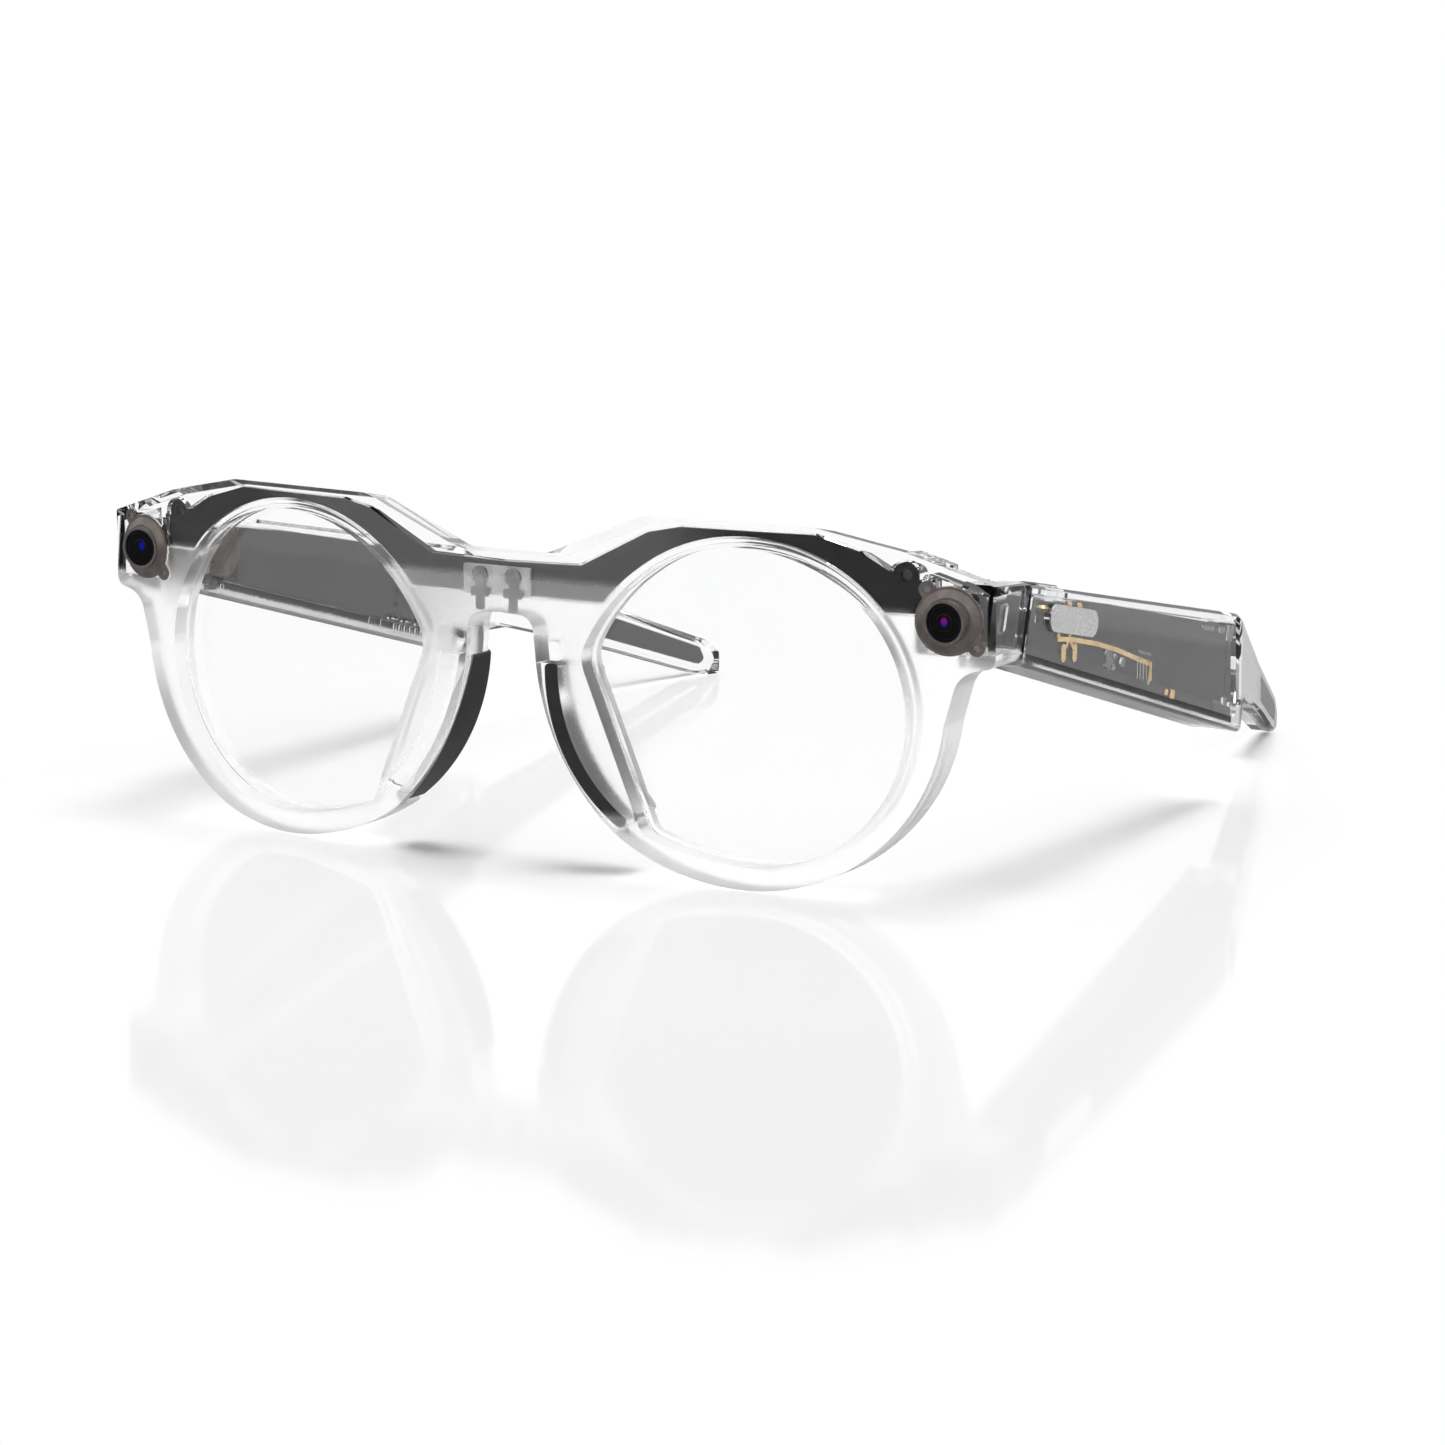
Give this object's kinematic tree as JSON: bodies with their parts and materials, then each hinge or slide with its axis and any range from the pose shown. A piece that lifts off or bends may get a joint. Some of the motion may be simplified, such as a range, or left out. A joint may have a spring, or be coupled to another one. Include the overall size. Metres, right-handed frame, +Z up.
{
  "type": "smart glasses",
  "caption": "Clear-framed smart glasses: round lenses, a camera and a light in the endpieces, dark electronics in two folding temples, rubber nose pads.",
  "frame": {"origin": "on the table that the open glasses stand on, in the middle of their footprint", "axes": "+Z up, the lenses face -Y, the temples run back along +Y, and +X is the wearer's left"},
  "size_m": [0.15, 0.153, 0.0525],
  "materials": {
    "clear_shell": "clear polycarbonate, polished on top and frosted below",
    "clear_cover": "clear polycarbonate, lightly frosted",
    "clear_lens": "clear polished lens",
    "black_plate": "fine satin",
    "flex_black": "satin film with gilt tracks",
    "bracket_grey": "bead blasted",
    "contact_steel": "satin",
    "black_rubber": "matt silicone rubber",
    "taupe_metal": "bead blasted and anodised",
    "black_glass": "polished, dark behind",
    "module_black": "satin",
    "screw_steel": "machined",
    "hinge_metal": "satin",
    "pin_steel": "ground",
    "core_grey": "fine moulded texture",
    "board": "solder mask",
    "cell_foil": "soft foil",
    "speaker_black": "satin",
    "panel_grey": "smooth film",
    "gilt": "plated",
    "chrome_badge": "polished",
    "switch_grey": "fine texture"
  },
  "bodies": {
    "front": {"front_frame": "clear_shell", "front_rear_cover": "clear_cover", "brow_plate": "black_plate", "brow_flex": "flex_black", "bridge_bracket": "bracket_grey", "charge_pins": "contact_steel", "lens_left": "clear_lens", "lens_right": "clear_lens", "nose_pad_left": "black_rubber", "nose_pad_right": "black_rubber", "camera_bezel": "taupe_metal", "light_bezel": "taupe_metal", "camera_window": "black_glass", "light_window": "black_glass", "camera_module": "module_black", "light_module": "module_black", "bezel_screws": "screw_steel", "endpiece_cap_left": "clear_cover", "endpiece_cap_right": "clear_cover", "hinge_base_left": "hinge_metal", "hinge_base_right": "hinge_metal", "hinge_pin_left": "pin_steel", "hinge_pin_right": "pin_steel", "hinge_base_screws": "screw_steel"},
    "temple_left": {"temple_shell_left": "clear_shell", "temple_cover_left": "clear_cover", "core_carrier_left": "core_grey", "main_board_left": "board", "battery_left": "cell_foil", "speaker_left": "speaker_black", "inner_panel_left": "panel_grey", "touch_flex_left": "gilt", "badge_plate_left": "chrome_badge", "tip_core_left": "core_grey", "hinge_leaf_left": "taupe_metal", "hinge_leaf_screws_left": "screw_steel", "button_dome": "gilt"},
    "temple_right": {"temple_shell_right": "clear_shell", "temple_cover_right": "clear_cover", "core_carrier_right": "core_grey", "main_board_right": "board", "battery_right": "cell_foil", "speaker_right": "speaker_black", "inner_panel_right": "panel_grey", "touch_flex_right": "gilt", "badge_plate_right": "chrome_badge", "tip_core_right": "core_grey", "hinge_leaf_right": "taupe_metal", "hinge_leaf_screws_right": "screw_steel"},
    "capture_button": {"capture_button": "clear_cover"},
    "power_switch": {"power_switch": "switch_grey"}
  },
  "joints": [
    {"name": "left_temple_fold", "type": "hinge", "parent": "front", "child": "temple_left", "pos_m": [0.0656, -0.0588, 0.0394], "axis": [0, 0, 1], "range_deg": [0, 86]},
    {"name": "right_temple_fold", "type": "hinge", "parent": "front", "child": "temple_right", "pos_m": [-0.0656, -0.0588, 0.0394], "axis": [0, 0, -1], "range_deg": [0, 76]},
    {"name": "capture_button_press", "type": "slide", "parent": "temple_left", "child": "capture_button", "axis": [0.0035, -0.1973, -0.9803], "range_m": [0, 0.0004], "stiffness_N_per_m": 1500, "springref_m": -0.0002},
    {"name": "power_switch_slide", "type": "slide", "parent": "temple_left", "child": "power_switch", "axis": [-0.0176, 0.9802, -0.1974], "range_m": [0, 0.0015]}
  ]
}
